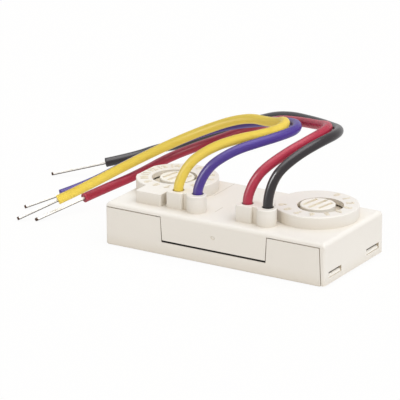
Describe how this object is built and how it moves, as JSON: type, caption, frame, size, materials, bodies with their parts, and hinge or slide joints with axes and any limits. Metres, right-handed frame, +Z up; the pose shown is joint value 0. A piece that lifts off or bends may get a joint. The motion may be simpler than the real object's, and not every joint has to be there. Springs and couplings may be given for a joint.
{
  "type": "addressable monitor module",
  "caption": "Cream snap-together plastic box with two rotary address dials on its cover and coloured leads looping back to stripped ends.",
  "frame": {"origin": "middle of the housing's underside, under the centre of its outline", "axes": "+X along the housing towards the end with the snap windows, +Y from the side with the wire bosses to the back, +Z up out of the cover"},
  "size_m": [0.1172, 0.0575, 0.0371],
  "materials": {
    "housing_abs": "fine satin moulded ABS",
    "switch_plastic": "satin nylon",
    "dial_plastic": "satin acetal",
    "board_laminate": "green solder mask on glass epoxy",
    "chip_plastic": "matt moulding compound",
    "resistor_ceramic": "dark glazed ceramic",
    "capacitor_ceramic": "tan ceramic",
    "resonator_ceramic": "ochre dipped ceramic",
    "can_aluminium": "brushed can",
    "spring_bronze": "spring bronze",
    "tinned_metal": "tin plate",
    "solder": "bright solder",
    "lead_yellow": "PVC insulation, satin gloss",
    "lead_violet": "PVC insulation, satin gloss",
    "lead_red": "PVC insulation, satin gloss",
    "lead_black": "PVC insulation, satin gloss",
    "conductor": "twisted tinned copper strands"
  },
  "bodies": {
    "module": {"base_tray": "housing_abs", "black_lead": "lead_black", "black_lead_core": "conductor", "black_lead_tail": "lead_black", "bridge_rectifier": "chip_plastic", "ceramic_resonator": "resonator_ceramic", "chip_capacitors": "capacitor_ceramic", "chip_legs": "tinned_metal", "chip_resistors": "resistor_ceramic", "chip_terminals": "tinned_metal", "circuit_board": "board_laminate", "component_legs": "tinned_metal", "controller_chip": "chip_plastic", "cover": "housing_abs", "ones_contact_pins": "tinned_metal", "ones_detent_spring": "spring_bronze", "ones_switch_base": "switch_plastic", "ones_switch_housing": "switch_plastic", "red_lead": "lead_red", "red_lead_core": "conductor", "red_lead_tail": "lead_red", "reservoir_capacitor": "can_aluminium", "solder_joints": "solder", "soldered_cores": "conductor", "surge_suppressor": "chip_plastic", "tens_contact_pins": "tinned_metal", "tens_detent_spring": "spring_bronze", "tens_switch_base": "switch_plastic", "tens_switch_housing": "switch_plastic", "transistor_legs": "tinned_metal", "transistors": "chip_plastic", "violet_lead": "lead_violet", "violet_lead_core": "conductor", "violet_lead_tail": "lead_violet", "yellow_lead": "lead_yellow", "yellow_lead_core": "conductor", "yellow_lead_tail": "lead_yellow"},
    "tens_dial": {"tens_rotor": "dial_plastic", "tens_wiper": "spring_bronze"},
    "ones_dial": {"ones_rotor": "dial_plastic", "ones_wiper": "spring_bronze"}
  },
  "joints": [
    {"name": "tens_dial_turn", "type": "hinge", "parent": "module", "child": "tens_dial", "pos_m": [-0.02365, 0.00325, 0], "axis": [0, 0, 1], "range_deg": [-225, 0]},
    {"name": "ones_dial_turn", "type": "hinge", "parent": "module", "child": "ones_dial", "pos_m": [0.022, 0.00265, 0], "axis": [0, 0, 1], "range_deg": [-225, 0]}
  ]
}
